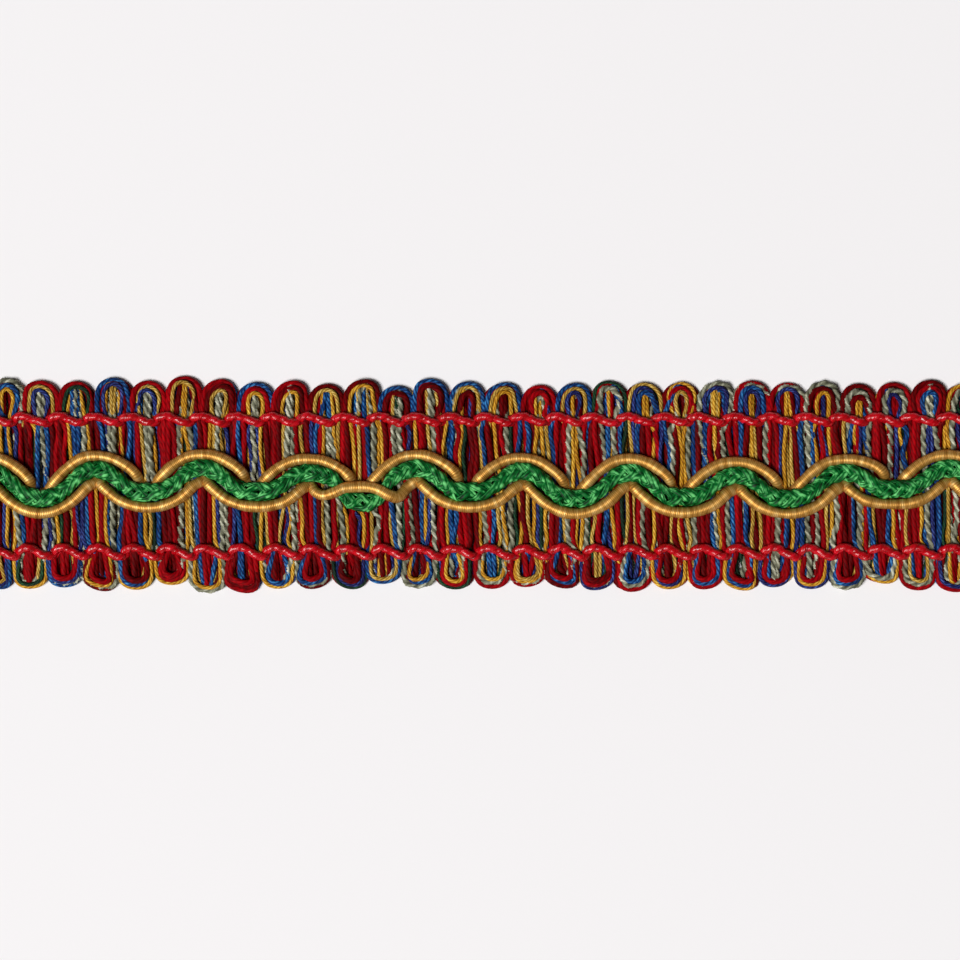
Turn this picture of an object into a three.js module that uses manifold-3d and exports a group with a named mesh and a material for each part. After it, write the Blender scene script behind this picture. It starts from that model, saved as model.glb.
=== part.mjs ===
// Loop-edged gimp braid trim: a cut length that lies flat, face up.
// Millimetres. X runs along the trim, Y across it and Z up from its back, where the origin is.
// A weft of yarns turns back in a row of loops along each edge, a binder cord crosses it near
// each edge, and a green braid waves along the middle between two gold gimp cords.

import * as THREE from "three";
import { mergeVertices } from "three/addons/utils/BufferGeometryUtils.js";
import Module from "manifold-3d";

// Driving dimensions
const trimWidth = 30; // from loop tip to loop tip
const loopPitch = 5.07; // one loop to the next, on either edge
const loopsPerWave = 3;
const waveCount = 10;
const clearGap = 0.3; // between pieces that touch
const cutGap = 0.34; // around a gimp cord where it is let into another piece

const weftThickness = 1.2; // two layers of yarn
const loopDepth = 1.22; // loop tip to the valley beside it
const lowerLoopShift = 0.86; // the lower loops stand this much past the half pitch
const binderWidth = 1.3;
const binderHeight = 0.9;
const braidWidth = 2.4;
const braidHeight = 1.5;
const gimpDiameter = 1.1;
const gimpRise = 0.6; // its centre above the seat

// Sizes that follow
const loopCount = loopsPerWave * waveCount;
const waveLength = loopPitch * loopsPerWave;
const trimLength = loopPitch * loopCount;
const halfLength = trimLength / 2;
const seat = weftThickness + clearGap; // what lies on the weft starts here
const binderMiddle = seat + binderHeight / 2;
const braidMiddle = seat + braidHeight / 2;
const gimpMiddle = seat + gimpRise;
const firstCrest = loopPitch - waveCount * waveLength / 2;

const arcSegments = 4;
const cordRings = 12 * waveCount;
const binderRings = 2 * loopCount;

// How far each wave of the middle band strays across the trim, at its crest and at its trough
const strays = [
  { crest: 0.1, trough: -0.49 },
  { crest: 0.26, trough: 0.33 },
  { crest: 0.42, trough: 0.47 },
  { crest: -0.21, trough: 0 },
  { crest: 0.39, trough: 0.4 },
  { crest: -0.04, trough: -0.56 },
  { crest: -0.2, trough: -0.39 },
  { crest: -0.64, trough: -0.56 },
  { crest: -0.29, trough: 0.8 },
  { crest: 0.36, trough: 0 },
];

// The wave in which the lower gimp cord climbs over the braid
const crossedWave = 3;

// One wave of each cord: along from the crest, across from the middle line, height of its centre
const braidWave = [
  { along: 0, across: 2.03, height: braidMiddle },
  { along: 1.72, across: 1.5, height: braidMiddle },
  { along: 3.44, across: 0.09, height: braidMiddle },
  { along: 5.16, across: -1.2, height: braidMiddle },
  { along: 7.6, across: -1.32, height: braidMiddle },
  { along: 9.45, across: -1.05, height: braidMiddle },
  { along: 11.17, across: 0.24, height: braidMiddle },
  { along: 12.89, across: 1.52, height: braidMiddle },
];

const saggingBraidWave = [
  { along: 0, across: 2.03, height: braidMiddle },
  { along: 2.15, across: 1.7, height: braidMiddle },
  { along: 3.58, across: 1.03, height: braidMiddle },
  { along: 4.73, across: -0.4, height: braidMiddle },
  { along: 5.73, across: -1.83, height: braidMiddle },
  { along: 7.6, across: -2.55, height: braidMiddle },
  { along: 9.3, across: -2.5, height: braidMiddle },
  { along: 10.74, across: -1.12, height: braidMiddle },
  { along: 11.7, across: 0.31, height: braidMiddle },
  { along: 12.9, across: 1.3, height: braidMiddle },
];

// The upper cord arches over each crest and ducks under the braid's edge at each trough
const upperGimpWave = [
  { along: 0, across: 4.09, height: gimpMiddle },
  { along: 2.15, across: 3.69, height: gimpMiddle },
  { along: 4.3, across: 2.5, height: gimpMiddle },
  { along: 5.73, across: 1.25, height: gimpMiddle },
  { along: 6.6, across: 0.5, height: 1.6 },
  { along: 7.6, across: 0.2, height: 1.2 },
  { along: 8.6, across: 0.5, height: 1.6 },
  { along: 9.48, across: 1.25, height: gimpMiddle },
  { along: 10.91, across: 2.5, height: gimpMiddle },
  { along: 13.06, across: 3.69, height: gimpMiddle },
];

// The lower cord hangs under each trough and meets the braid in a cusp at each crest
const lowerGimpWave = [
  { along: 0.1, across: 0.25, height: 1.3 },
  { along: 0.95, across: -0.2, height: 1.5 },
  { along: 2, across: -1.22, height: gimpMiddle },
  { along: 3.44, across: -2.34, height: gimpMiddle },
  { along: 5.58, across: -3.34, height: gimpMiddle },
  { along: 7.73, across: -3.69, height: gimpMiddle },
  { along: 9.88, across: -3.34, height: gimpMiddle },
  { along: 12.03, across: -2.3, height: gimpMiddle },
  { along: 13.46, across: -1.22, height: gimpMiddle },
  { along: 14.5, across: -0.2, height: 1.6 },
];

const climbingGimpWave = [
  { along: 0.1, across: 0.25, height: 1.3 },
  { along: 1.1, across: -0.83, height: gimpMiddle },
  { along: 2.24, across: -1.26, height: 2.55 },
  { along: 3.8, across: -0.95, height: 2.95 },
  { along: 5.07, across: -0.4, height: 2.9 },
  { along: 6.3, across: -0.17, height: 2.8 },
  { along: 7.6, across: -0.11, height: 2.75 },
  { along: 8.9, across: -0.2, height: 2.8 },
  { along: 10.3, across: -0.8, height: 2.9 },
  { along: 11.6, across: -1.6, height: 2.85 },
  { along: 12.9, across: -1.95, height: 2.4 },
  { along: 14.3, across: -0.6, height: 1.7 },
];

const wasm = await Module();
wasm.setup();

function solidOf(geometry) {
  const bare = geometry.clone();
  bare.deleteAttribute("normal");
  bare.deleteAttribute("uv");
  const merged = mergeVertices(bare);
  return new wasm.Manifold(
    new wasm.Mesh({
      numProp: 3,
      vertProperties: merged.attributes.position.array,
      triVerts: merged.index.array,
    }),
  );
}

function geometryOf(solid) {
  const mesh = solid.getMesh();
  const geometry = new THREE.BufferGeometry();
  geometry.setAttribute("position", new THREE.BufferAttribute(mesh.vertProperties, 3));
  geometry.setIndex(new THREE.BufferAttribute(mesh.triVerts, 1));
  geometry.computeVertexNormals();
  return geometry;
}

// The geometry with a way cut through it for each of the others
function cutClearOf(geometry, others) {
  const cut = others.reduce((left, other) => left.subtract(solidOf(other)), solidOf(geometry));
  return geometryOf(cut);
}

// A smooth route through knots of { x, y, z } sorted by x
function smoothRoute(knots) {
  const places = knots.map((knot) => knot.x);
  const values = knots.flatMap((knot) => [knot.y, knot.z]);
  return new THREE.CubicInterpolant(places, values, 2, new Float32Array(2));
}

const strayRoute = smoothRoute(
  strays.flatMap(({ crest, trough }, wave) => {
    const x = firstCrest + wave * waveLength;
    return [
      { x, y: crest, z: 0 },
      { x: x + waveLength / 2, y: trough, z: 0 },
    ];
  }),
);

// The whole route of a cord, from one table of a wave and another for the crossed wave
function bandRoute(usualWave, unusualWave) {
  const knots = [];
  for (let wave = -1; wave <= waveCount; wave++) {
    const rows = wave === crossedWave ? unusualWave : usualWave;
    for (const { along, across, height } of rows) {
      const x = firstCrest + wave * waveLength + along;
      const [stray] = strayRoute.evaluate(THREE.MathUtils.clamp(x, firstCrest, halfLength));
      knots.push({ x, y: across + stray, z: height });
    }
  }
  return smoothRoute(knots);
}

// A binder runs nearest the edge over each valley and furthest from it over each loop
function binderRoute(middle, sway, edgemostAt) {
  const knots = [];
  for (let step = -2; step <= binderRings + 2; step++) {
    const x = edgemostAt - halfLength + (step * loopPitch) / 2;
    const y = middle + (step % 2 === 0 ? sway : -sway);
    knots.push({ x, y, z: binderMiddle });
  }
  return smoothRoute(knots);
}

// A rod with an oval section, laid along its route.
// A round cord keeps its thickness on a slope. A plait keeps its width across the trim.
function laidCord({ route, width, height, sides, rings, round }) {
  const section = new THREE.Shape();
  section.absellipse(0, 0, width / 2, height / 2, 0, 2 * Math.PI);
  const corners = section.getPoints(sides / 2).slice(0, -1); // an ellipse gives two for each
  const outline = new THREE.Shape(corners);
  const rod = new THREE.ExtrudeGeometry(outline, {
    depth: trimLength,
    steps: rings,
    bevelEnabled: false,
  });
  const across = new THREE.Vector3(0, 1, 0);
  const up = new THREE.Vector3(0, 0, 1);
  const along = new THREE.Vector3(1, 0, 0);
  rod.applyMatrix4(new THREE.Matrix4().makeBasis(across, up, along));
  rod.translate(-halfLength, 0, 0);

  const spots = rod.attributes.position;
  const probe = 0.05;
  for (let i = 0; i < spots.count; i++) {
    const x = spots.getX(i);
    const [before] = route.evaluate(x - probe);
    const [after] = route.evaluate(x + probe);
    const slope = (after - before) / (2 * probe);
    const stretch = round ? Math.hypot(1, slope) : 1;
    const [y, z] = route.evaluate(x);
    spots.setY(i, y + spots.getY(i) * stretch);
    spots.setZ(i, z + spots.getZ(i));
  }
  rod.computeVertexNormals();
  return rod;
}

function braid() {
  return laidCord({
    route: bandRoute(braidWave, saggingBraidWave),
    width: braidWidth,
    height: braidHeight,
    sides: 8,
    rings: cordRings,
    round: false,
  });
}

function gimp(usualWave, unusualWave, diameter = gimpDiameter, sides = 8) {
  return laidCord({
    route: bandRoute(usualWave, unusualWave),
    width: diameter,
    height: diameter,
    sides,
    rings: cordRings,
    round: true,
  });
}

function binder(middle, sway, edgemostAt) {
  return laidCord({
    route: binderRoute(middle, sway, edgemostAt),
    width: binderWidth,
    height: binderHeight,
    sides: 6,
    rings: binderRings,
    round: true,
  });
}

// A row of loops as arcs, anticlockwise round the outline and clipped at the trim's ends
function addLoops(outline, side, firstMiddle) {
  const radius = (loopPitch ** 2 / 4 + loopDepth ** 2) / (2 * loopDepth);
  const centreY = side * (trimWidth / 2 - radius);
  const step = -side * loopPitch;
  const clip = (x) => THREE.MathUtils.clamp(x, -halfLength, halfLength);
  for (let loop = 0; loop <= loopCount; loop++) {
    const middle = firstMiddle + loop * step;
    const angleAt = (x) => side * Math.acos((x - middle) / radius);
    const from = clip(middle - step / 2);
    const to = clip(middle + step / 2);
    if (Math.abs(to - from) > clearGap) {
      outline.absarc(middle, centreY, radius, angleAt(from), angleAt(to), false);
    }
  }
}

function weft() {
  const outline = new THREE.Shape();
  addLoops(outline, 1, halfLength - loopPitch / 2);
  addLoops(outline, -1, lowerLoopShift - halfLength);
  return new THREE.ExtrudeGeometry(outline, {
    depth: weftThickness,
    bevelEnabled: false,
    curveSegments: arcSegments,
  });
}

const yarn = {
  weft: { color: 0x8c1a22, roughness: 0.75, metalness: 0 },
  binder: { color: 0xc41426, roughness: 0.8, metalness: 0 },
  braid: { color: 0x1f7d3c, roughness: 0.5, metalness: 0 },
  gimp: { color: 0xc8923f, roughness: 0.45, metalness: 0 },
};

const trim = new THREE.Group();

function addPiece(name, geometry, finish) {
  const mesh = new THREE.Mesh(geometry, new THREE.MeshStandardMaterial(finish));
  mesh.name = name;
  trim.add(mesh);
}

const upperGimp = gimp(upperGimpWave, upperGimpWave);
const lowerGimp = gimp(lowerGimpWave, climbingGimpWave);
const roomyDiameter = gimpDiameter + 2 * cutGap;
const roomySides = 6;
const roomForGimp = [
  gimp(upperGimpWave, upperGimpWave, roomyDiameter, roomySides),
  gimp(lowerGimpWave, climbingGimpWave, roomyDiameter, roomySides),
];

addPiece("weft", cutClearOf(weft(), roomForGimp), yarn.weft);
addPiece("binder_upper", binder(9.5, 0.46, 0), yarn.binder);
addPiece("binder_lower", binder(-9.6, -0.7, lowerLoopShift + loopPitch / 2), yarn.binder);
addPiece("braid_green", cutClearOf(braid(), roomForGimp), yarn.braid);
addPiece("gimp_upper", upperGimp, yarn.gimp);
addPiece("gimp_lower", lowerGimp, yarn.gimp);

export default trim;
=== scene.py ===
import math
import random
from collections import namedtuple

import bmesh
import bpy
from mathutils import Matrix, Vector
from mathutils.geometry import interpolate_bezier


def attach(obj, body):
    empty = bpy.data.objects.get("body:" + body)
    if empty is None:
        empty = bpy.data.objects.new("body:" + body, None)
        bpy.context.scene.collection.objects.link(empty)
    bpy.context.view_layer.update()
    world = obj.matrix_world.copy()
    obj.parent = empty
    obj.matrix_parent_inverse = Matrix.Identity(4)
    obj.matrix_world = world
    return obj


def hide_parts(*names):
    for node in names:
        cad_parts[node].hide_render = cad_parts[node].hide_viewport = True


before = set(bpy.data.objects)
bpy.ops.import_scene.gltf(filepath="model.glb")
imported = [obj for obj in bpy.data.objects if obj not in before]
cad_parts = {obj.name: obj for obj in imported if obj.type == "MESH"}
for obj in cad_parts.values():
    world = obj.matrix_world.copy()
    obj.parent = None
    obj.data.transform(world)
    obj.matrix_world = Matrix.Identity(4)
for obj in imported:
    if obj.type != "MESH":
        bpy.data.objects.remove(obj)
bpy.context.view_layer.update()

# Loop-edged gimp braid, laid flat. X runs along the trim, Y across it and Z up from the table.
# Sizes are in millimetres, and layCords turns them into metres.
mm = 0.001
chance = random.Random(11)

trim = {
    "length": 152.1,
    "width": 30.0,
    "pitch": 5.07,          # one edge loop to the next
    "loops": 30,
    "lowerShift": 0.86,     # the lower loops stand this much past the half pitch
    "wave": 15.21,          # one wave of the middle braid
    "waves": 10,
    "spare": 4,             # cords are routed this far past the ends, and then cut
}
pitch = trim["pitch"]
halfLength = trim["length"] / 2
firstCrest = pitch - halfLength


# Routes and cords

def smoothRoute(keys, step):
    # a rounded line through the keys, with a point about every step
    leaning = [
        (after - before).normalized()
        for before, after in zip(keys[:1] + keys[:-1], keys[1:] + keys[-1:])
    ]
    route = []
    for start, end, leaving, arriving in zip(keys, keys[1:], leaning, leaning[1:]):
        reach = (end - start).length / 3
        count = max(2, round(3 * reach / step) + 1)
        route += interpolate_bezier(
            start, start + leaving * reach, end - arriving * reach, end, count
        )[:-1]
    return route + keys[-1:]


def lengthsAlong(route):
    lengths = [0.0]
    for before, after in zip(route, route[1:]):
        lengths.append(lengths[-1] + (after - before).length)
    return lengths


def cutAcross(name, width, height, sides, plies=0, dent=0.0):
    # the outline of a cord cut across, with a bulge for each of its plies
    outline = bpy.data.curves.new(name, "CURVE")
    outline.dimensions = "2D"
    spline = outline.splines.new("POLY")
    spline.points.add(sides - 1)
    for place, point in enumerate(spline.points):
        turn = -2 * math.pi * place / sides
        bulge = (1 + dent * math.cos(plies * turn)) * mm / 2
        point.co = (width * bulge * math.cos(turn), height * bulge * math.sin(turn), 0, 1)
    spline.use_cyclic_u = True
    section = bpy.data.objects.new(name, outline)
    bpy.context.collection.objects.link(section)
    return section


def layCords(name, routes, section, finish, turnEvery=0.0, tilts=None, swells=None):
    # tubes along the routes, made into one mesh. A ply-twisted cord turns once every turnEvery
    curve = bpy.data.curves.new(name, "CURVE")
    curve.dimensions = "3D"
    curve.twist_mode = "Z_UP"
    curve.bevel_mode = "OBJECT"
    curve.bevel_object = section
    curve.use_fill_caps = True
    for number, route in enumerate(routes):
        spline = curve.splines.new("POLY")
        spline.points.add(len(route) - 1)
        start = chance.uniform(0, 2 * math.pi)
        for place, (point, spot, length) in enumerate(zip(spline.points, route, lengthsAlong(route))):
            point.co = (*(spot * mm), 1)
            if turnEvery:
                point.tilt = (start - 2 * math.pi * length / turnEvery) % (2 * math.pi)
            if tilts:
                point.tilt = tilts[number][place]
            if swells:
                point.radius = swells[number][place]
    former = bpy.data.objects.new(name + "_former", curve)
    bpy.context.collection.objects.link(former)
    depsgraph = bpy.context.evaluated_depsgraph_get()
    mesh = bpy.data.meshes.new_from_object(former.evaluated_get(depsgraph))
    bpy.data.objects.remove(former)
    bpy.data.objects.remove(section)

    shape = bmesh.new()
    shape.from_mesh(mesh)
    bmesh.ops.remove_doubles(shape, verts=shape.verts, dist=0.001 * mm)
    bmesh.ops.recalc_face_normals(shape, faces=shape.faces)
    shape.to_mesh(mesh)
    shape.free()
    mesh.shade_smooth()
    mesh.materials.clear()
    mesh.materials.append(finish)
    piece = bpy.data.objects.new(name, mesh)
    bpy.context.collection.objects.link(piece)
    print(name, "has", sum(len(face.vertices) - 2 for face in mesh.polygons), "triangles")
    return piece


def fit(piece, node):
    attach(piece, "root")
    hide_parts(node)


# Finishes

def newFinish(name, roughness):
    finish = bpy.data.materials.new(name)
    finish.use_nodes = True
    shader = finish.node_tree.nodes["Principled BSDF"]
    shader.inputs["Roughness"].default_value = roughness
    return finish, finish.node_tree.nodes, finish.node_tree.links, shader


def rgb(red, green, blue):
    # a colour as a paint program shows it, made linear
    return tuple(
        level / 255 / 12.92 if level <= 10 else ((level / 255 + 0.055) / 1.055) ** 2.4
        for level in (red, green, blue)
    ) + (1.0,)


def colourRamp(nodes, stops):
    ramp = nodes.new("ShaderNodeValToRGB")
    ramp.color_ramp.elements[0].position = stops[0][0]
    ramp.color_ramp.elements[0].color = stops[0][1]
    ramp.color_ramp.elements[1].position = stops[-1][0]
    ramp.color_ramp.elements[1].color = stops[-1][1]
    for position, colour in stops[1:-1]:
        ramp.color_ramp.elements.new(position).color = colour
    return ramp


def mathNode(nodes, links, operation, first, second=None):
    node = nodes.new("ShaderNodeMath")
    node.operation = operation
    for socket, value in zip(node.inputs, (first, second)):
        if isinstance(value, (int, float)):
            socket.default_value = value
        elif value is not None:
            links.new(value, socket)
    return node.outputs["Value"]


def cordMap(nodes):
    # the map that a cord is made with: along it from end to end, then round it
    layout = nodes.new("ShaderNodeUVMap")
    layout.uv_map = "UVMap"
    return layout.outputs["UV"]


def noiseOver(nodes, links, source, scale, detail=2.0):
    stretch = nodes.new("ShaderNodeMapping")
    stretch.inputs["Scale"].default_value = scale
    noise = nodes.new("ShaderNodeTexNoise")
    noise.inputs["Scale"].default_value = 1.0
    noise.inputs["Detail"].default_value = detail
    links.new(source, stretch.inputs["Vector"])
    links.new(stretch.outputs["Vector"], noise.inputs["Vector"])
    return noise.outputs["Fac"]


def spunFinish(name, tones, length, plies, groove, relief, fuzz, gloss, speckle, lay=0.0,
               roughness=0.6, uneven=0.5, patch=(1500, 110, 300), fibre=(0.5, 14.0)):
    # spun fibres, with painted shade in the grooves between the plies, and with streaks and patches of
    # other tones. The plies wind once round the cord every lay, or run along it if its mesh is twisted.
    # patch is how fine the patches are on each axis, and fibre how long and how fine the fibres are
    finish, nodes, links, shader = newFinish(name, roughness)
    cord = cordMap(nodes)
    axes = nodes.new("ShaderNodeSeparateXYZ")
    links.new(cord, axes.inputs["Vector"])
    turn = mathNode(nodes, links, "MULTIPLY", axes.outputs["Y"], 2 * math.pi * plies)
    if lay:
        wind = 2 * math.pi * plies * length / lay
        wound = mathNode(nodes, links, "MULTIPLY", axes.outputs["X"], wind)
        turn = mathNode(nodes, links, "ADD", turn, wound)
    halfTurn = mathNode(nodes, links, "MULTIPLY", turn, 0.5)
    valley = mathNode(nodes, links, "ABSOLUTE", mathNode(nodes, links, "SINE", halfTurn))
    valley = mathNode(nodes, links, "POWER", valley, 5.0)

    place = nodes.new("ShaderNodeTexCoord")
    apart = noiseOver(nodes, links, place.outputs["Object"], patch, 1.0)
    streaks = noiseOver(nodes, links, cord, (length / 0.9, 7.0, 1.0))
    apart = mathNode(nodes, links, "MULTIPLY", apart, uneven)
    streaks = mathNode(nodes, links, "MULTIPLY", streaks, speckle)
    # painted shade: the tone goes darker in the grooves between the plies
    shade = mathNode(nodes, links, "MULTIPLY", valley, -groove)
    tone = mathNode(nodes, links, "ADD", apart, streaks)
    tone = mathNode(nodes, links, "ADD", tone, shade)
    level = mathNode(nodes, links, "ADD", tone, 0.55 - (uneven + speckle) / 2)
    ramp = colourRamp(nodes, [(0.1, tones[0]), (0.5, tones[1]), (0.85, tones[2])])
    links.new(level, ramp.inputs["Fac"])
    links.new(ramp.outputs["Color"], shader.inputs["Base Color"])

    fibres = noiseOver(nodes, links, cord, (length / fibre[0], fibre[1], 1.0))
    fibres = mathNode(nodes, links, "MULTIPLY", fibres, fuzz)
    sunk = mathNode(nodes, links, "MULTIPLY", valley, -relief)
    raised = nodes.new("ShaderNodeBump")
    raised.inputs["Strength"].default_value = 1.0
    raised.inputs["Distance"].default_value = mm
    links.new(mathNode(nodes, links, "ADD", fibres, sunk), raised.inputs["Height"])
    links.new(raised.outputs["Normal"], shader.inputs["Normal"])
    shader.inputs["Specular IOR Level"].default_value = gloss
    return finish


def woundFinish(name, tones, length, thread):
    # satin thread wound closely round a core: a rib for each turn of it
    finish, nodes, links, shader = newFinish(name, 0.46)
    cord = cordMap(nodes)
    axes = nodes.new("ShaderNodeSeparateXYZ")
    links.new(cord, axes.inputs["Vector"])
    turn = mathNode(nodes, links, "MULTIPLY", axes.outputs["X"], 2 * math.pi * length / thread)
    lean = mathNode(nodes, links, "MULTIPLY", axes.outputs["Y"], 2 * math.pi)
    rib = mathNode(nodes, links, "SINE", mathNode(nodes, links, "ADD", turn, lean))
    bands = noiseOver(nodes, links, cord, (length / 0.6, 1.5, 1.0))
    # painted shade between the ribs: the tone is a little darker there than on the ribs, and it differs
    # at random in bands
    tone = mathNode(nodes, links, "ADD", mathNode(nodes, links, "MULTIPLY", rib, 0.08), bands)
    ramp = colourRamp(nodes, [(0.2, tones[0]), (0.5, tones[1]), (0.8, tones[2])])
    links.new(tone, ramp.inputs["Fac"])
    links.new(ramp.outputs["Color"], shader.inputs["Base Color"])
    raised = nodes.new("ShaderNodeBump")
    raised.inputs["Strength"].default_value = 1.0
    raised.inputs["Distance"].default_value = 0.008 * mm
    links.new(rib, raised.inputs["Height"])
    links.new(raised.outputs["Normal"], shader.inputs["Normal"])
    shader.inputs["Metallic"].default_value = 0.62
    shader.inputs["Specular IOR Level"].default_value = 0.8
    shader.inputs["Specular Tint"].default_value = (1.0, 0.86, 0.6, 1.0)
    return finish


# Middle band: what each cord's centre follows over one wave, from the crest, from the trim's
# middle line and above the table. The part's own routes are the same to within half a millimetre.
knot = namedtuple("knot", "along across height")

strays = [  # how far each wave sits from its usual place, at its crest and at its trough
    {"crest": 0.1, "trough": -0.49},
    {"crest": 0.26, "trough": 0.33},
    {"crest": 0.42, "trough": 0.47},
    {"crest": -0.21, "trough": 0.0},
    {"crest": 0.39, "trough": 0.4},
    {"crest": -0.04, "trough": -0.56},
    {"crest": -0.2, "trough": -0.39},
    {"crest": -0.64, "trough": -0.56},
    {"crest": -0.29, "trough": 0.8},
    {"crest": 0.36, "trough": 0.0},
]
crossedWave = 3          # here the lower gold cord climbs over the green braid

braidWave = [
    knot(0.3, 2.1, 2.25),
    knot(2.15, 1.55, 2.25),
    knot(3.9, 0.12, 2.25),
    knot(5.5, -1.1, 2.25),
    knot(7.8, -1.32, 2.25),
    knot(9.85, -1.08, 2.25),
    knot(11.8, 0.14, 2.25),
    knot(13.35, 1.5, 2.25),
]
saggingBraidWave = [
    knot(0, 2.03, 2.25),
    knot(2.15, 1.7, 2.25),
    knot(3.58, 1.03, 2.25),
    knot(4.73, -0.4, 2.25),
    knot(5.73, -1.83, 2.25),
    knot(7.6, -2.4, 2.25),
    knot(9.3, -2.35, 2.25),
    knot(10.74, -1.12, 2.25),
    knot(11.7, 0.31, 2.25),
    knot(12.9, 1.3, 2.25),
]
upperGimpWave = [
    knot(0.15, 3.94, 2.1),
    knot(2.4, 3.6, 2.1),
    knot(4.6, 2.46, 2.1),
    knot(5.7, 1.5, 2.1),
    knot(6.1, 0.95, 1.85),
    knot(6.35, 0.35, 1.2),
    knot(7.0, -0.5, 1.0),
    knot(8.25, -0.5, 1.0),
    knot(8.85, 0.1, 1.45),
    knot(9.3, 0.65, 1.95),
    knot(9.9, 1.25, 2.1),
    knot(11.2, 2.42, 2.1),
    knot(13.3, 3.63, 2.1),
]
lowerGimpWave = [
    knot(0.4, 0.4, 1.5),
    knot(1.2, 0.75, 1.0),
    knot(0.85, 0.25, 1.6),
    knot(1.1, -0.3, 2.1),
    knot(2.0, -1.15, 2.1),
    knot(3.44, -2.3, 2.1),
    knot(5.58, -3.2, 2.1),
    knot(7.73, -3.5, 2.1),
    knot(9.88, -3.24, 2.1),
    knot(12.03, -2.36, 2.1),
    knot(13.46, -1.24, 2.1),
    knot(14.3, -0.4, 2.0),
    knot(15.0, 0.0, 1.8),
]
climbingGimpWave = [
    knot(0.3, 0.35, 1.5),
    knot(1.1, -0.73, 2.1),
    knot(2.24, -1.26, 2.55),
    knot(3.8, -0.95, 2.95),
    knot(5.07, -0.4, 2.9),
    knot(6.3, -0.25, 2.8),
    knot(7.6, -0.2, 2.75),
    knot(8.9, -0.3, 2.8),
    knot(10.3, -0.8, 2.9),
    knot(11.6, -1.6, 2.85),
    knot(12.9, -1.95, 2.4),
    knot(14.3, -0.6, 1.7),
]


def strayAt(x):
    turns = [wave[end] for wave in strays for end in ("crest", "trough")]
    spot = (x - firstCrest) / (trim["wave"] / 2)
    before = min(max(math.floor(spot), 0), len(turns) - 2)
    part = min(max(spot - before, 0), 1)
    ease = part * part * (3 - 2 * part)
    return turns[before] * (1 - ease) + turns[before + 1] * ease


def bandRoute(usualWave, unusualWave, step, drop=0.0):
    keys = []
    for wave in range(-1, trim["waves"] + 1):
        for row in unusualWave if wave == crossedWave else usualWave:
            x = firstCrest + wave * trim["wave"] + row.along
            if abs(x) < halfLength + trim["spare"]:
                keys.append(Vector((x, row.across + strayAt(x), row.height - drop)))
    return [spot for spot in smoothRoute(keys, step) if abs(spot.x) <= halfLength]


braidLine = bandRoute(braidWave, saggingBraidWave, 0.5)


def braidAt(x):
    # how far across the trim the green braid's middle is here
    return min(braidLine, key=lambda spot: abs(spot.x - x)).y


# Binder cords: two red yarns twined about the weft near each edge. One floats over the crests of
# the row and the other over its troughs, and each dives under where the other comes up
binder = {
    "finishLength": 160,    # the length of cord that its finish is scaled for
    "thickness": 1.22,
    "turnEvery": 2.4,
    "step": 0.22,
    "crestAlong": 1.25,     # where the crest comes in the tables below
    "acrossStray": 0.05,
    "alongStray": 0.06,
    "crestYarn": [
        knot(0.0, -0.1, 1.3),
        knot(0.4, 0.28, 1.72),
        knot(1.2, 0.62, 1.84),
        knot(2.1, 0.4, 1.72),
        knot(2.75, 0.0, 1.25),
        knot(3.4, -0.3, 0.72),
        knot(4.4, -0.3, 0.66),
    ],
    "troughYarn": [
        knot(2.4, 0.1, 1.3),
        knot(2.85, -0.18, 1.72),
        knot(3.65, -0.62, 1.84),
        knot(4.4, -0.86, 1.72),
        knot(5.05, -0.72, 1.25),
        knot(5.7, -0.3, 0.72),
        knot(6.7, 0.0, 0.66),
    ],
}
binderRows = {
    "binder_upper": {"across": 9.46, "sway": 0.64, "crestAt": -0.05},
    "binder_lower": {"across": -9.4, "sway": 0.9, "crestAt": trim["lowerShift"] - 0.42},
}


def binderPhase(row, x):
    return 2 * math.pi * (x + halfLength - row["crestAt"]) / pitch


def layBinder(name, finish):
    row = binderRows[name]
    routes = []
    for yarn in ("crestYarn", "troughYarn"):
        keys = []
        for turn in range(-3, trim["loops"] + 2):
            start = row["crestAt"] - binder["crestAlong"] + turn * pitch - halfLength
            for spot in binder[yarn]:
                y = row["across"] + row["sway"] * spot.across + chance.gauss(0, binder["acrossStray"])
                x = start + spot.along + chance.gauss(0, binder["alongStray"])
                keys.append(Vector((x, y, spot.height)))
        route = smoothRoute(keys, binder["step"])
        routes.append([spot for spot in route if abs(spot.x) <= halfLength])
    thickness = binder["thickness"]
    section = cutAcross(name + "_section", thickness, thickness, sides=12, plies=2, dent=0.06)
    piece = layCords(name + "_yarns", routes, section, finish, turnEvery=binder["turnEvery"])
    fit(piece, name)
    return piece


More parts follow.
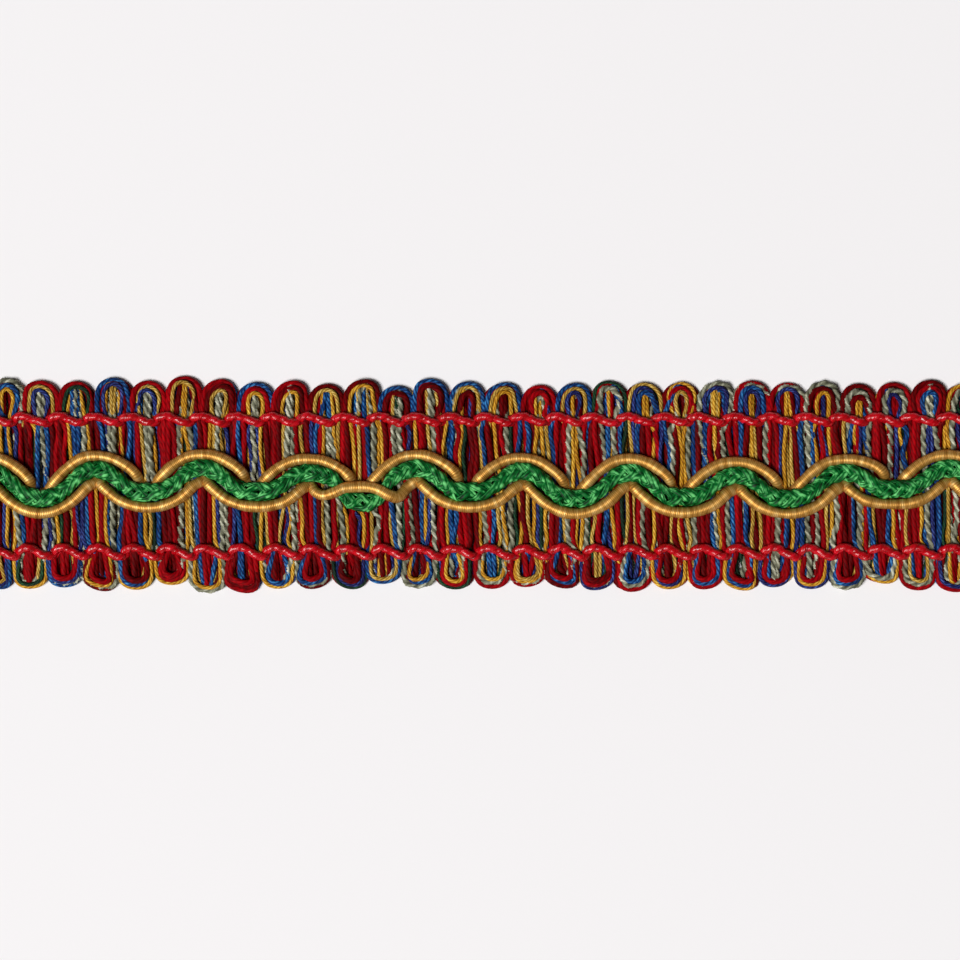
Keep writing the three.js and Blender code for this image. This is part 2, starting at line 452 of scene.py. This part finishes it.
# Weft: a bundle of yarns laid back and forth, turning back in a loop at each edge. A side of 1 is
# the upper edge of the trim and -1 the lower, and a hand of -1 is left and 1 is right
archFacts = namedtuple("archFacts", "width height")
legStop = namedtuple("legStop", "across share")
weft = {
    "finishLength": 1700,       # the length of yarn that its finish is scaled for
    "shown": 4,                 # yarns of a bundle that lie on top
    "topHeight": 1.16,
    "underHeights": (0.38, 0.64),
    "slope": 0.13,              # a loop's left side lies over the right side of the one before
    "changing": 2.0,            # how many places a yarn strays from one loop to the next
    "flankChanging": 0.9,
    "favourStray": 0.3,
    "spacingStray": 0.22,
    "heightStray": 0.09,
    "legStray": 0.17,
    "binderAcross": 9.5,
    "pressed": 0.8,             # how high the lowest yarn lies under the binder
    "springBack": 0.2,          # how much of the other yarns' height is left there
    "gather": 0.22,             # yarns draw aside where the binder yarns cross
    # the arches of a loop from the outer one in. Half of how wide each is and how high it lies
    "arches": {
        1: [archFacts(2.2, 0.5), archFacts(1.62, 0.98), archFacts(1.1, 1.2)],
        -1: [archFacts(2.2, 0.45), archFacts(1.98, 0.92), archFacts(1.7, 1.3)],
    },
    "archDepth": 0.5,           # the outer arch's middle, in from the loop's tip
    "archSteps": {1: 0.8, -1: 0.6},         # in yarns from arch to arch
    "archShortening": 0.12,
    "archStray": 0.05,
    "roundness": 0.9,
    "rises": {1: 2.35, -1: 1.75},
    "riseStray": 0.12,
    "middleStray": 0.12,
    "tipStray": 0.3,
    "leans": {1: 0.25, -1: 0.45},
    # the yarns that run up inside the arches and turn back beneath them
    "inner": {"widest": 1.7, "narrowing": 0.6, "depth": 0.85, "stray": 0.3, "rise": 0.9, "height": 0.5},
    # the lowest yarns, that fill the valleys between the loops. Width is half of how wide they turn
    "filling": {"width": 2.4, "narrowest": 0.3, "stray": 0.1, "depth": 0.75, "deepening": 1.4},
}
yarnFacts = namedtuple("yarnFacts", "count thickness flatness turnEvery dent step sides showing")
weftYarns = {
    "wine": yarnFacts(2, 0.94, 0.62, 0, 0, 0.5, 7, 0.35),
    "red": yarnFacts(2, 0.88, 0.66, 0, 0, 0.5, 7, 0.4),
    "blue": yarnFacts(1, 0.8, 0.9, 0, 0, 0.42, 7, 0.45),
    "navy": yarnFacts(1, 0.66, 0.95, 0, 0, 0.42, 7, 0.25),
    "gold": yarnFacts(1, 0.62, 0.95, 0, 0, 0.42, 7, 0.55),
    "straw": yarnFacts(1, 0.6, 0.95, 0, 0, 0.42, 7, 0.35),
    "grey": yarnFacts(1, 0.98, 0.86, 3.2, 0.11, 0.4, 8, 0.5),
    "green": yarnFacts(1, 0.6, 0.95, 0, 0, 0.42, 7, 0.15),
}
strandKinds = {
    f"{kind}{number}": kind for kind, yarn in weftYarns.items() for number in range(yarn.count)
}


def reshuffled(order, changing):
    places = {strand: place + chance.gauss(0, changing) for place, strand in enumerate(order)}
    return sorted(order, key=places.get)


def layFlank(order, favour):
    # where each yarn runs in one flank of a loop, from the outer one in: some on top, the rest under
    order = reshuffled(order, weft["flankChanging"])
    favour = {
        strand: favour[strand] + chance.uniform(0, weft["favourStray"]) for strand in order
    }
    shown = sorted(order, key=favour.get)[-weft["shown"]:]
    spots = {}
    for onTop in (True, False):
        strands = [strand for strand in order if (strand in shown) == onTop]
        for place, strand in enumerate(strands):
            stray = chance.uniform(-weft["spacingStray"], weft["spacingStray"])
            share = (place + 0.5 + stray) / len(strands)
            height = weft["topHeight"] if onTop else weft["underHeights"][place % 2]
            spots[strand] = {
                "out": pitch / 2 * (1 - share),
                "height": height + chance.gauss(0, weft["heightStray"]),
                "onTop": onTop,
            }
    return spots


def layTurn(flanks, side, tall):
    # how each yarn goes round the loop. Two or three make a hood of arches, one inside another.
    # The others that are on top run up inside it and turn back beneath it, and the rest fill in
    outs = {strand: flanks[-1][strand]["out"] + flanks[1][strand]["out"] for strand in strandKinds}
    inward = sorted(strandKinds, key=outs.get, reverse=True)
    shown = {s: flanks[-1][s]["onTop"] + flanks[1][s]["onTop"] for s in strandKinds}
    arches = [strand for strand in inward if shown[strand] == 2][:chance.choice((2, 3, 3))]
    inner = [strand for strand in inward if shown[strand] and strand not in arches]
    filling = [strand for strand in inward if not shown[strand]]
    turns = {}
    depth = weft["archDepth"]
    for place, (strand, shape) in enumerate(zip(arches, weft["arches"][side])):
        thickness = weftYarns[strandKinds[strand]].thickness
        depth += thickness * weft["archSteps"][side] if place else 0
        for flank in flanks.values():
            flank[strand]["out"] = (flank[strand]["out"] + 2 * shape.width) / 3
        turns[strand] = {
            "widths": {hand: flanks[hand][strand]["out"] for hand in (-1, 1)},
            "depth": depth,
            "rise": tall * (1 - weft["archShortening"] * place),
            "height": shape.height + chance.gauss(0, weft["archStray"]),
        }
    form = weft["inner"]
    for strand in inner:
        reaches = {hand: min(flanks[hand][strand]["out"], form["widest"]) for hand in (-1, 1)}
        turns[strand] = {
            "widths": {hand: reach * form["narrowing"] for hand, reach in reaches.items()},
            "depth": form["depth"] + chance.uniform(0, form["stray"]),
            "rise": form["rise"],
            "height": form["height"],
        }
    form = weft["filling"]
    for place, strand in enumerate(filling):
        share = place / len(filling)
        width = max(form["narrowest"], form["width"] * (1 - share))
        turns[strand] = {
            "widths": {hand: width + chance.gauss(0, form["stray"]) for hand in (-1, 1)},
            "depth": form["depth"] + form["deepening"] * share,
            "rise": tall,
            "height": weft["underHeights"][place % 2],
        }
    return turns


def likings(order):
    return {strand: weftYarns[strandKinds[strand]].showing + chance.random() for strand in order}


def layLoop(order, middle, side):
    favour = likings(order)
    flanks = {-1: layFlank(order, favour), 1: layFlank(order, favour)}
    tall = weft["rises"][side] + chance.gauss(0, weft["riseStray"])
    return {
        "middle": middle + chance.gauss(0, weft["middleStray"]),
        "side": side,
        "tip": trim["width"] / 2 + chance.gauss(0, weft["tipStray"]),
        "lean": chance.gauss(0, weft["leans"][side]),
        "flanks": flanks,
        "legs": {-1: layFlank(order, likings(order)), 1: layFlank(order, likings(order))},
        "turns": layTurn(flanks, side, tall),
    }


def layLoops():
    order = list(strandKinds)
    chance.shuffle(order)
    lower = [layLoop(order, trim["lowerShift"] - halfLength, -1)]
    upper = []
    for number in range(trim["loops"]):
        order = reshuffled(order[::-1], weft["changing"])
        upper.append(layLoop(order, (number + 0.5) * pitch - halfLength, 1))
        order = reshuffled(order[::-1], weft["changing"])
        lower.append(layLoop(order, (number + 1) * pitch - halfLength + trim["lowerShift"], -1))
    return upper, lower


def turnKeys(loop, strand):
    # round the loop from its left flank to its right one
    turn = loop["turns"][strand]
    foot = loop["tip"] - turn["depth"] - turn["rise"]
    keys = []
    for angle in (10, 50, 90, 130, 170):
        cosine = math.cos(math.radians(angle))
        sine = math.sin(math.radians(angle))
        hand = -1 if cosine > 0 else 1
        flankHeight = (loop["flanks"][hand][strand]["height"] + turn["height"]) / 2
        bend = (turn["widths"][1] - turn["widths"][-1]) / 2 + loop["lean"]
        out = turn["widths"][hand] * abs(cosine) ** weft["roundness"]
        x = loop["middle"] + hand * out + bend * sine ** 2
        y = loop["side"] * (foot + turn["rise"] * sine ** weft["roundness"])
        z = turn["height"] + (flankHeight - turn["height"]) * cosine ** 2 + weft["slope"] * cosine
        keys.append(Vector((x, y, z)))
    return keys


def legKeys(strand, upperLoop, lowerLoop, hand):
    # from the upper loop down to the lower one. hand is -1 on the upper loop's left flank
    upper = upperLoop["legs"][hand][strand]
    lower = lowerLoop["legs"][-hand][strand]
    upperX = upperLoop["middle"] + hand * upper["out"]
    lowerX = lowerLoop["middle"] - hand * lower["out"]
    swap = braidAt((upperX + lowerX) / 2)
    stops = [  # how far across, and how far of the way to its place in the lower loop
        legStop(7.6, 0.03),
        legStop(4.6, 0.17),
        legStop(swap + 1.7, 0.34),
        legStop(swap - 1.7, 0.66),
        legStop(-4.8, 0.83),
        legStop(-7.7, 0.97),
    ]
    keys = [binderKey("binder_upper", upperLoop, hand, strand)]
    for stop in stops:
        x = upperX * (1 - stop.share) + lowerX * stop.share + chance.gauss(0, weft["legStray"])
        height = upper["height"] if stop.share < 0.5 else lower["height"]
        keys.append(Vector((x, stop.across, height)))
    return keys + [binderKey("binder_lower", lowerLoop, -hand, strand)]


def binderKey(name, loop, hand, strand):
    # under the binder, where yarns change places between the leg and the loop, drawn aside from
    # where the binder yarns pass through
    flank = loop["flanks"][hand][strand]
    leg = loop["legs"][hand][strand]
    x = loop["middle"] + hand * (flank["out"] + leg["out"]) / 2
    x -= weft["gather"] * math.sin(2 * binderPhase(binderRows[name], x))
    height = weft["pressed"] + weft["springBack"] * (flank["height"] + leg["height"])
    return Vector((x, loop["side"] * weft["binderAcross"], height))


def strandRoute(strand, upperLoops, lowerLoops):
    yarn = weftYarns[strandKinds[strand]]
    # it rests on the table, whichever way it is turned
    lowest = yarn.thickness * (1 if yarn.turnEvery else yarn.flatness) * (1 + yarn.dent) / 2
    keys = turnKeys(lowerLoops[0], strand)[2:]
    for number, upperLoop in enumerate(upperLoops):
        keys += legKeys(strand, upperLoop, lowerLoops[number], -1)[::-1]
        keys += turnKeys(upperLoop, strand)
        keys += legKeys(strand, upperLoop, lowerLoops[number + 1], 1)
        keys += turnKeys(lowerLoops[number + 1], strand)
    route = smoothRoute(keys[:-3], yarn.step)
    for spot in route:
        spot.z = max(spot.z, lowest)
    return route


def layWeft(finishes):
    upperLoops, lowerLoops = layLoops()
    pieces = []
    for kind, yarn in weftYarns.items():
        strands = [strand for strand in strandKinds if strandKinds[strand] == kind]
        routes = [strandRoute(strand, upperLoops, lowerLoops) for strand in strands]
        height = yarn.thickness * yarn.flatness
        section = cutAcross(
            kind + "_section", yarn.thickness, height, yarn.sides, plies=2, dent=yarn.dent
        )
        piece = layCords("weft_" + kind, routes, section, finishes[kind], turnEvery=yarn.turnEvery)
        print("  strand length", round(lengthsAlong(routes[0])[-1]), "mm")
        fit(piece, "weft")
        pieces.append(piece)
    return pieces


# Green braid: eight strands plaited about a flat core
plait = {
    "finishLength": 260,
    "perWay": 4,
    "turnEvery": 7.0,
    "width": 2.8,
    "height": 1.7,
    "strandWidth": 1.02,
    "strandHeight": 0.46,
    "weave": 0.16,
    "uneven": 0.32,         # how far a strand slips from its even turn, in radians
    "slipEvery": 2.2,
    "swell": 0.14,          # how much thicker or thinner it gets
    "swellEvery": 1.7,
    "step": 0.4,
    "drop": 0.1,
}


def wander(lengths, every, amount):
    # a value that strays slowly to either side of nothing along a strand
    marks = [chance.gauss(0, amount) for mark in range(int(lengths[-1] / every) + 2)]
    strayed = []
    for length in lengths:
        before = int(length / every)
        part = length / every - before
        ease = part * part * (3 - 2 * part)
        strayed.append(marks[before] * (1 - ease) + marks[before + 1] * ease)
    return strayed


def layPlait(finish):
    route = bandRoute(braidWave, saggingBraidWave, plait["step"], plait["drop"])
    lengths = lengthsAlong(route)
    inset = plait["strandHeight"] / 2 + plait["weave"]
    across = plait["width"] / 2 - inset
    up = plait["height"] / 2 - inset
    routes = []
    tilts = []
    swells = []
    for way in (1, -1):
        for strand in range(plait["perWay"]):
            slips = wander(lengths, plait["slipEvery"], plait["uneven"])
            spots = []
            turns = []
            for spot, length, slip in zip(route, lengths, slips):
                turned = length / plait["turnEvery"] + strand / plait["perWay"]
                angle = way * 2 * math.pi * turned + slip
                over = way * plait["weave"] * math.sin(2 * angle)
                spots.append(
                    spot
                    + Vector((0, (across + over) * math.cos(angle), (up + over) * math.sin(angle)))
                )
                facing = math.atan2(across * math.sin(angle), up * math.cos(angle))
                turns.append(facing - math.pi / 2)
            routes.append(spots)
            tilts.append(turns)
            strayed = wander(lengths, plait["swellEvery"], plait["swell"])
            swells.append([1 + swell for swell in strayed])
    section = cutAcross("plait_section", plait["strandWidth"], plait["strandHeight"], sides=8)
    piece = layCords("braid_green_plait", routes, section, finish, tilts=tilts, swells=swells)
    fit(piece, "braid_green")
    return piece


# Gimp cords: gold thread wound closely round a core
gimp = {
    "finishLength": 190,
    "thread": 0.24,         # one rib of the winding
    "thickness": {"gimp_upper": 1.56, "gimp_lower": 1.6},
    "uneven": 0.05,
    "unevenEvery": 1.8,
    "step": 0.3,
    "drop": 0.15,
}


def layGimp(name, usualWave, unusualWave, finish):
    thickness = gimp["thickness"][name]
    route = bandRoute(usualWave, unusualWave, gimp["step"], gimp["drop"])
    section = cutAcross(name + "_section", thickness, thickness, sides=12)
    strayed = wander(lengthsAlong(route), gimp["unevenEvery"], gimp["uneven"])
    swells = [1 + swell for swell in strayed]
    piece = layCords(name + "_cord", [route], section, finish, swells=[swells])
    fit(piece, name)
    return piece


# Studio
studio = {
    "viewMiddle": (-0.773, 0.745),      # what the camera looks straight down at
    "viewWidth": 137.5,
    "lens": 100,
    "sensor": 36,
    "floorReach": 3.0,                  # this and the light are in metres and watts
    "lightPlace": (-2.4, -1.5, 4.4),
    "lightSize": 2.2,
    "lightPower": 333,
}


def layFloor():
    shape = bmesh.new()
    bmesh.ops.create_grid(shape, x_segments=1, y_segments=1, size=studio["floorReach"])
    mesh = bpy.data.meshes.new("floor")
    shape.to_mesh(mesh)
    shape.free()
    floor = bpy.data.objects.new("floor", mesh)
    bpy.context.collection.objects.link(floor)
    finish, _, _, shader = newFinish("pale ground", 1.0)
    shader.inputs["Base Color"].default_value = (0.86, 0.84, 0.845, 1)
    shader.inputs["Specular IOR Level"].default_value = 0.0
    mesh.materials.append(finish)


def hangLight():
    light = bpy.data.lights.new("key", "AREA")
    light.shape = "SQUARE"
    light.size = studio["lightSize"]
    light.energy = studio["lightPower"]
    lamp = bpy.data.objects.new("key", light)
    lamp.location = studio["lightPlace"]
    lamp.rotation_euler = (-lamp.location).to_track_quat("-Z", "Y").to_euler()
    bpy.context.collection.objects.link(lamp)


def paintWorld():
    world = bpy.data.worlds.new("studio")
    world.use_nodes = True
    nodes = world.node_tree.nodes
    links = world.node_tree.links
    # pale at the height of the table and dim above it, so that the key light does the work
    direction = nodes.new("ShaderNodeTexCoord")
    axes = nodes.new("ShaderNodeSeparateXYZ")
    pale = (0.88, 0.87, 0.87, 1)
    fade = colourRamp(nodes, [(0.0, pale), (0.12, pale), (0.2, (0.06, 0.06, 0.06, 1))])
    links.new(direction.outputs["Generated"], axes.inputs["Vector"])
    links.new(axes.outputs["Z"], fade.inputs["Fac"])
    links.new(fade.outputs["Color"], nodes["Background"].inputs["Color"])
    bpy.context.scene.world = world


def placeCamera():
    camera = bpy.data.cameras.new("camera")
    camera.lens = studio["lens"]
    camera.sensor_width = studio["sensor"]
    distance = studio["viewWidth"] * mm * studio["lens"] / studio["sensor"]
    viewer = bpy.data.objects.new("camera", camera)
    viewer.location = (studio["viewMiddle"][0] * mm, studio["viewMiddle"][1] * mm, distance)
    bpy.context.collection.objects.link(viewer)
    bpy.context.scene.camera = viewer


bpy.context.scene.view_settings.view_transform = "Standard"
layFloor()
paintWorld()
hangLight()
placeCamera()
print("studio is set")

# the looks of each weft yarn. Its groove value is how dark the painted shade in the grooves between its
# plies is
yarnLooks = namedtuple(
    "yarnLooks", "name dark middle pale plies lay groove relief fuzz gloss speckle"
)
weftLooks = {
    "wine": yarnLooks(
        "wine yarn", (38, 0, 0), (85, 0, 2), (140, 0, 8), 4, 4.4, 0.2, 0.03, 0.04, 0.05, 0.45
    ),
    "red": yarnLooks(
        "red yarn", (62, 0, 0), (129, 0, 7), (194, 2, 16), 4, 4.4, 0.2, 0.03, 0.04, 0.05, 0.45
    ),
    "blue": yarnLooks(
        "blue yarn", (0, 10, 40), (0, 50, 108), (70, 150, 212), 4, 3.4, 0.34, 0.035, 0.06, 0.15, 0.8
    ),
    "navy": yarnLooks(
        "navy yarn", (6, 2, 34), (22, 26, 86), (76, 104, 180), 4, 3.0, 0.34, 0.035, 0.06, 0.15, 0.8
    ),
    "gold": yarnLooks(
        "gold yarn", (116, 64, 0), (190, 134, 24), (250, 212, 92), 4, 3.0, 0.36, 0.035, 0.06, 0.15, 0.8
    ),
    "straw": yarnLooks(
        "straw yarn", (92, 60, 4), (174, 134, 48), (246, 218, 128), 4, 2.8, 0.36, 0.035, 0.06, 0.15, 0.8
    ),
    "grey": yarnLooks(
        "grey yarn", (48, 44, 30), (126, 126, 104), (238, 236, 212), 2, 0, 0.32, 0.04, 0.06, 0.15, 0.7
    ),
    "green": yarnLooks(
        "dark green yarn", (2, 12, 6), (10, 40, 22), (40, 96, 56), 4, 3.0, 0.34, 0.035, 0.06, 0.15, 0.7
    ),
}


def weftFinish(looks):
    tones = (rgb(*looks.dark), rgb(*looks.middle), rgb(*looks.pale))
    return spunFinish(
        looks.name, tones, weft["finishLength"], looks.plies, looks.groove, looks.relief,
        looks.fuzz, looks.gloss, looks.speckle, lay=looks.lay,
    )


weftPieces = layWeft({kind: weftFinish(looks) for kind, looks in weftLooks.items()})

binderFinish = spunFinish(
    "red binder cord", (rgb(112, 0, 4), rgb(176, 0, 12), rgb(222, 16, 40)),
    binder["finishLength"], plies=2, groove=0.16, relief=0.03, fuzz=0.1, roughness=0.27,
    gloss=0.5, speckle=0.9, fibre=(0.6, 10.0),
)
sewnOn = [layBinder(name, binderFinish) for name in binderRows]

plaitFinish = spunFinish(
    "green floss", (rgb(0, 34, 6), rgb(0, 102, 38), rgb(108, 204, 118)),
    plait["finishLength"], plies=5, groove=0.26, relief=0.05, fuzz=0.02, roughness=0.45,
    gloss=0.14, uneven=1.3, speckle=0.8, patch=(1000, 1000, 1000), fibre=(1.5, 12.0),
)
sewnOn.append(layPlait(plaitFinish))

gimpFinish = woundFinish(
    "gold thread", (rgb(122, 68, 8), rgb(196, 142, 62), rgb(238, 200, 130)),
    gimp["finishLength"], gimp["thread"],
)
sewnOn.append(layGimp("gimp_upper", upperGimpWave, upperGimpWave, gimpFinish))
sewnOn.append(layGimp("gimp_lower", lowerGimpWave, climbingGimpWave, gimpFinish))
print("all the cords are laid")
